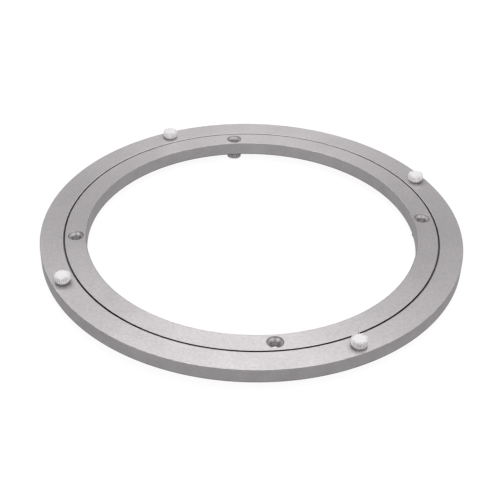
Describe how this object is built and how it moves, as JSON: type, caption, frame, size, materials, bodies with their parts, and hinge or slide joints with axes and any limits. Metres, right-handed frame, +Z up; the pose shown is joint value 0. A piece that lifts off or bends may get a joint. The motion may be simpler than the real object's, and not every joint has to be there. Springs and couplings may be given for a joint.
{
  "type": "turntable thrust ball bearing",
  "caption": "Flat aluminium turntable bearing: flush inner and outer rings on a row of caged steel balls, with countersunk screw holes and push-in soft feet and pads.",
  "frame": {"origin": "on the bearing's axis, in the plane that the feet stand on", "axes": "+Z up along the axis that the outer ring turns about, towards the pads; +X through one of the inner ring's screw holes; each top pad leads a screw hole by 21.2 degrees at rest"},
  "size_m": [0.25, 0.25, 0.0179],
  "materials": {
    "inner_ring_aluminium": "bead-blasted, silver anodised",
    "outer_ring_aluminium": "bead-blasted, silver anodised",
    "white_soft_plastic": "soft moulded plastic, satin",
    "nylon": "black nylon, satin, greased",
    "bearing_steel": "ground and polished steel"
  },
  "bodies": {
    "inner_ring_set": {"inner_ring": "inner_ring_aluminium", "foot_1": "white_soft_plastic", "foot_2": "white_soft_plastic", "foot_3": "white_soft_plastic", "foot_4": "white_soft_plastic"},
    "outer_ring_set": {"outer_ring": "outer_ring_aluminium", "top_pad_1": "white_soft_plastic", "top_pad_2": "white_soft_plastic", "top_pad_3": "white_soft_plastic", "top_pad_4": "white_soft_plastic"},
    "retainer": {"ball_retainer": "nylon"},
    "ball_01": {"ball_01": "bearing_steel"},
    "ball_02": {"ball_02": "bearing_steel"},
    "ball_03": {"ball_03": "bearing_steel"},
    "ball_04": {"ball_04": "bearing_steel"},
    "ball_05": {"ball_05": "bearing_steel"},
    "ball_06": {"ball_06": "bearing_steel"},
    "ball_07": {"ball_07": "bearing_steel"},
    "ball_08": {"ball_08": "bearing_steel"},
    "ball_09": {"ball_09": "bearing_steel"},
    "ball_10": {"ball_10": "bearing_steel"},
    "ball_11": {"ball_11": "bearing_steel"},
    "ball_12": {"ball_12": "bearing_steel"},
    "ball_13": {"ball_13": "bearing_steel"},
    "ball_14": {"ball_14": "bearing_steel"},
    "ball_15": {"ball_15": "bearing_steel"},
    "ball_16": {"ball_16": "bearing_steel"},
    "ball_17": {"ball_17": "bearing_steel"},
    "ball_18": {"ball_18": "bearing_steel"},
    "ball_19": {"ball_19": "bearing_steel"},
    "ball_20": {"ball_20": "bearing_steel"},
    "ball_21": {"ball_21": "bearing_steel"},
    "ball_22": {"ball_22": "bearing_steel"},
    "ball_23": {"ball_23": "bearing_steel"},
    "ball_24": {"ball_24": "bearing_steel"},
    "ball_25": {"ball_25": "bearing_steel"},
    "ball_26": {"ball_26": "bearing_steel"},
    "ball_27": {"ball_27": "bearing_steel"},
    "ball_28": {"ball_28": "bearing_steel"},
    "ball_29": {"ball_29": "bearing_steel"},
    "ball_30": {"ball_30": "bearing_steel"},
    "ball_31": {"ball_31": "bearing_steel"},
    "ball_32": {"ball_32": "bearing_steel"},
    "ball_33": {"ball_33": "bearing_steel"},
    "ball_34": {"ball_34": "bearing_steel"},
    "ball_35": {"ball_35": "bearing_steel"},
    "ball_36": {"ball_36": "bearing_steel"}
  },
  "joints": [
    {"name": "turntable_spin", "type": "hinge", "parent": "inner_ring_set", "child": "outer_ring_set", "pos_m": [0, 0, 0.00895], "axis": [0, 0, 1], "continuous": true},
    {"name": "retainer_orbit", "type": "hinge", "parent": "inner_ring_set", "child": "retainer", "pos_m": [0, 0, 0.00895], "axis": [0, 0, 1], "continuous": true},
    {"name": "ball_01_roll", "type": "hinge", "parent": "retainer", "child": "ball_01", "pos_m": [0.11085, 0, 0.00895], "axis": [0, 0, 1], "continuous": true},
    {"name": "ball_02_roll", "type": "hinge", "parent": "retainer", "child": "ball_02", "pos_m": [0.10917, 0.01925, 0.00895], "axis": [0, 0, 1], "continuous": true},
    {"name": "ball_03_roll", "type": "hinge", "parent": "retainer", "child": "ball_03", "pos_m": [0.10416, 0.03791, 0.00895], "axis": [0, 0, 1], "continuous": true},
    {"name": "ball_04_roll", "type": "hinge", "parent": "retainer", "child": "ball_04", "pos_m": [0.096, 0.05543, 0.00895], "axis": [0, 0, 1], "continuous": true},
    {"name": "ball_05_roll", "type": "hinge", "parent": "retainer", "child": "ball_05", "pos_m": [0.08492, 0.07125, 0.00895], "axis": [0, 0, 1], "continuous": true},
    {"name": "ball_06_roll", "type": "hinge", "parent": "retainer", "child": "ball_06", "pos_m": [0.07125, 0.08492, 0.00895], "axis": [0, 0, 1], "continuous": true},
    {"name": "ball_07_roll", "type": "hinge", "parent": "retainer", "child": "ball_07", "pos_m": [0.05543, 0.096, 0.00895], "axis": [0, 0, 1], "continuous": true},
    {"name": "ball_08_roll", "type": "hinge", "parent": "retainer", "child": "ball_08", "pos_m": [0.03791, 0.10416, 0.00895], "axis": [0, 0, 1], "continuous": true},
    {"name": "ball_09_roll", "type": "hinge", "parent": "retainer", "child": "ball_09", "pos_m": [0.01925, 0.10917, 0.00895], "axis": [0, 0, 1], "continuous": true},
    {"name": "ball_10_roll", "type": "hinge", "parent": "retainer", "child": "ball_10", "pos_m": [0, 0.11085, 0.00895], "axis": [0, 0, 1], "continuous": true},
    {"name": "ball_11_roll", "type": "hinge", "parent": "retainer", "child": "ball_11", "pos_m": [-0.01925, 0.10917, 0.00895], "axis": [0, 0, 1], "continuous": true},
    {"name": "ball_12_roll", "type": "hinge", "parent": "retainer", "child": "ball_12", "pos_m": [-0.03791, 0.10416, 0.00895], "axis": [0, 0, 1], "continuous": true},
    {"name": "ball_13_roll", "type": "hinge", "parent": "retainer", "child": "ball_13", "pos_m": [-0.05543, 0.096, 0.00895], "axis": [0, 0, 1], "continuous": true},
    {"name": "ball_14_roll", "type": "hinge", "parent": "retainer", "child": "ball_14", "pos_m": [-0.07125, 0.08492, 0.00895], "axis": [0, 0, 1], "continuous": true},
    {"name": "ball_15_roll", "type": "hinge", "parent": "retainer", "child": "ball_15", "pos_m": [-0.08492, 0.07125, 0.00895], "axis": [0, 0, 1], "continuous": true},
    {"name": "ball_16_roll", "type": "hinge", "parent": "retainer", "child": "ball_16", "pos_m": [-0.096, 0.05543, 0.00895], "axis": [0, 0, 1], "continuous": true},
    {"name": "ball_17_roll", "type": "hinge", "parent": "retainer", "child": "ball_17", "pos_m": [-0.10416, 0.03791, 0.00895], "axis": [0, 0, 1], "continuous": true},
    {"name": "ball_18_roll", "type": "hinge", "parent": "retainer", "child": "ball_18", "pos_m": [-0.10917, 0.01925, 0.00895], "axis": [0, 0, 1], "continuous": true},
    {"name": "ball_19_roll", "type": "hinge", "parent": "retainer", "child": "ball_19", "pos_m": [-0.11085, 0, 0.00895], "axis": [0, 0, 1], "continuous": true},
    {"name": "ball_20_roll", "type": "hinge", "parent": "retainer", "child": "ball_20", "pos_m": [-0.10917, -0.01925, 0.00895], "axis": [0, 0, 1], "continuous": true},
    {"name": "ball_21_roll", "type": "hinge", "parent": "retainer", "child": "ball_21", "pos_m": [-0.10416, -0.03791, 0.00895], "axis": [0, 0, 1], "continuous": true},
    {"name": "ball_22_roll", "type": "hinge", "parent": "retainer", "child": "ball_22", "pos_m": [-0.096, -0.05543, 0.00895], "axis": [0, 0, 1], "continuous": true},
    {"name": "ball_23_roll", "type": "hinge", "parent": "retainer", "child": "ball_23", "pos_m": [-0.08492, -0.07125, 0.00895], "axis": [0, 0, 1], "continuous": true},
    {"name": "ball_24_roll", "type": "hinge", "parent": "retainer", "child": "ball_24", "pos_m": [-0.07125, -0.08492, 0.00895], "axis": [0, 0, 1], "continuous": true},
    {"name": "ball_25_roll", "type": "hinge", "parent": "retainer", "child": "ball_25", "pos_m": [-0.05543, -0.096, 0.00895], "axis": [0, 0, 1], "continuous": true},
    {"name": "ball_26_roll", "type": "hinge", "parent": "retainer", "child": "ball_26", "pos_m": [-0.03791, -0.10416, 0.00895], "axis": [0, 0, 1], "continuous": true},
    {"name": "ball_27_roll", "type": "hinge", "parent": "retainer", "child": "ball_27", "pos_m": [-0.01925, -0.10917, 0.00895], "axis": [0, 0, 1], "continuous": true},
    {"name": "ball_28_roll", "type": "hinge", "parent": "retainer", "child": "ball_28", "pos_m": [0, -0.11085, 0.00895], "axis": [0, 0, 1], "continuous": true},
    {"name": "ball_29_roll", "type": "hinge", "parent": "retainer", "child": "ball_29", "pos_m": [0.01925, -0.10917, 0.00895], "axis": [0, 0, 1], "continuous": true},
    {"name": "ball_30_roll", "type": "hinge", "parent": "retainer", "child": "ball_30", "pos_m": [0.03791, -0.10416, 0.00895], "axis": [0, 0, 1], "continuous": true},
    {"name": "ball_31_roll", "type": "hinge", "parent": "retainer", "child": "ball_31", "pos_m": [0.05543, -0.096, 0.00895], "axis": [0, 0, 1], "continuous": true},
    {"name": "ball_32_roll", "type": "hinge", "parent": "retainer", "child": "ball_32", "pos_m": [0.07125, -0.08492, 0.00895], "axis": [0, 0, 1], "continuous": true},
    {"name": "ball_33_roll", "type": "hinge", "parent": "retainer", "child": "ball_33", "pos_m": [0.08492, -0.07125, 0.00895], "axis": [0, 0, 1], "continuous": true},
    {"name": "ball_34_roll", "type": "hinge", "parent": "retainer", "child": "ball_34", "pos_m": [0.096, -0.05543, 0.00895], "axis": [0, 0, 1], "continuous": true},
    {"name": "ball_35_roll", "type": "hinge", "parent": "retainer", "child": "ball_35", "pos_m": [0.10416, -0.03791, 0.00895], "axis": [0, 0, 1], "continuous": true},
    {"name": "ball_36_roll", "type": "hinge", "parent": "retainer", "child": "ball_36", "pos_m": [0.10917, -0.01925, 0.00895], "axis": [0, 0, 1], "continuous": true}
  ],
  "couplings": [
    {"joint": "retainer_orbit", "follows": "turntable_spin", "ratio": 0.50902},
    {"joint": "ball_01_roll", "follows": "turntable_spin", "ratio": 27.703},
    {"joint": "ball_02_roll", "follows": "turntable_spin", "ratio": 27.703},
    {"joint": "ball_03_roll", "follows": "turntable_spin", "ratio": 27.703},
    {"joint": "ball_04_roll", "follows": "turntable_spin", "ratio": 27.703},
    {"joint": "ball_05_roll", "follows": "turntable_spin", "ratio": 27.703},
    {"joint": "ball_06_roll", "follows": "turntable_spin", "ratio": 27.703},
    {"joint": "ball_07_roll", "follows": "turntable_spin", "ratio": 27.703},
    {"joint": "ball_08_roll", "follows": "turntable_spin", "ratio": 27.703},
    {"joint": "ball_09_roll", "follows": "turntable_spin", "ratio": 27.703},
    {"joint": "ball_10_roll", "follows": "turntable_spin", "ratio": 27.703},
    {"joint": "ball_11_roll", "follows": "turntable_spin", "ratio": 27.703},
    {"joint": "ball_12_roll", "follows": "turntable_spin", "ratio": 27.703},
    {"joint": "ball_13_roll", "follows": "turntable_spin", "ratio": 27.703},
    {"joint": "ball_14_roll", "follows": "turntable_spin", "ratio": 27.703},
    {"joint": "ball_15_roll", "follows": "turntable_spin", "ratio": 27.703},
    {"joint": "ball_16_roll", "follows": "turntable_spin", "ratio": 27.703},
    {"joint": "ball_17_roll", "follows": "turntable_spin", "ratio": 27.703},
    {"joint": "ball_18_roll", "follows": "turntable_spin", "ratio": 27.703},
    {"joint": "ball_19_roll", "follows": "turntable_spin", "ratio": 27.703},
    {"joint": "ball_20_roll", "follows": "turntable_spin", "ratio": 27.703},
    {"joint": "ball_21_roll", "follows": "turntable_spin", "ratio": 27.703},
    {"joint": "ball_22_roll", "follows": "turntable_spin", "ratio": 27.703},
    {"joint": "ball_23_roll", "follows": "turntable_spin", "ratio": 27.703},
    {"joint": "ball_24_roll", "follows": "turntable_spin", "ratio": 27.703},
    {"joint": "ball_25_roll", "follows": "turntable_spin", "ratio": 27.703},
    {"joint": "ball_26_roll", "follows": "turntable_spin", "ratio": 27.703},
    {"joint": "ball_27_roll", "follows": "turntable_spin", "ratio": 27.703},
    {"joint": "ball_28_roll", "follows": "turntable_spin", "ratio": 27.703},
    {"joint": "ball_29_roll", "follows": "turntable_spin", "ratio": 27.703},
    {"joint": "ball_30_roll", "follows": "turntable_spin", "ratio": 27.703},
    {"joint": "ball_31_roll", "follows": "turntable_spin", "ratio": 27.703},
    {"joint": "ball_32_roll", "follows": "turntable_spin", "ratio": 27.703},
    {"joint": "ball_33_roll", "follows": "turntable_spin", "ratio": 27.703},
    {"joint": "ball_34_roll", "follows": "turntable_spin", "ratio": 27.703},
    {"joint": "ball_35_roll", "follows": "turntable_spin", "ratio": 27.703},
    {"joint": "ball_36_roll", "follows": "turntable_spin", "ratio": 27.703}
  ]
}
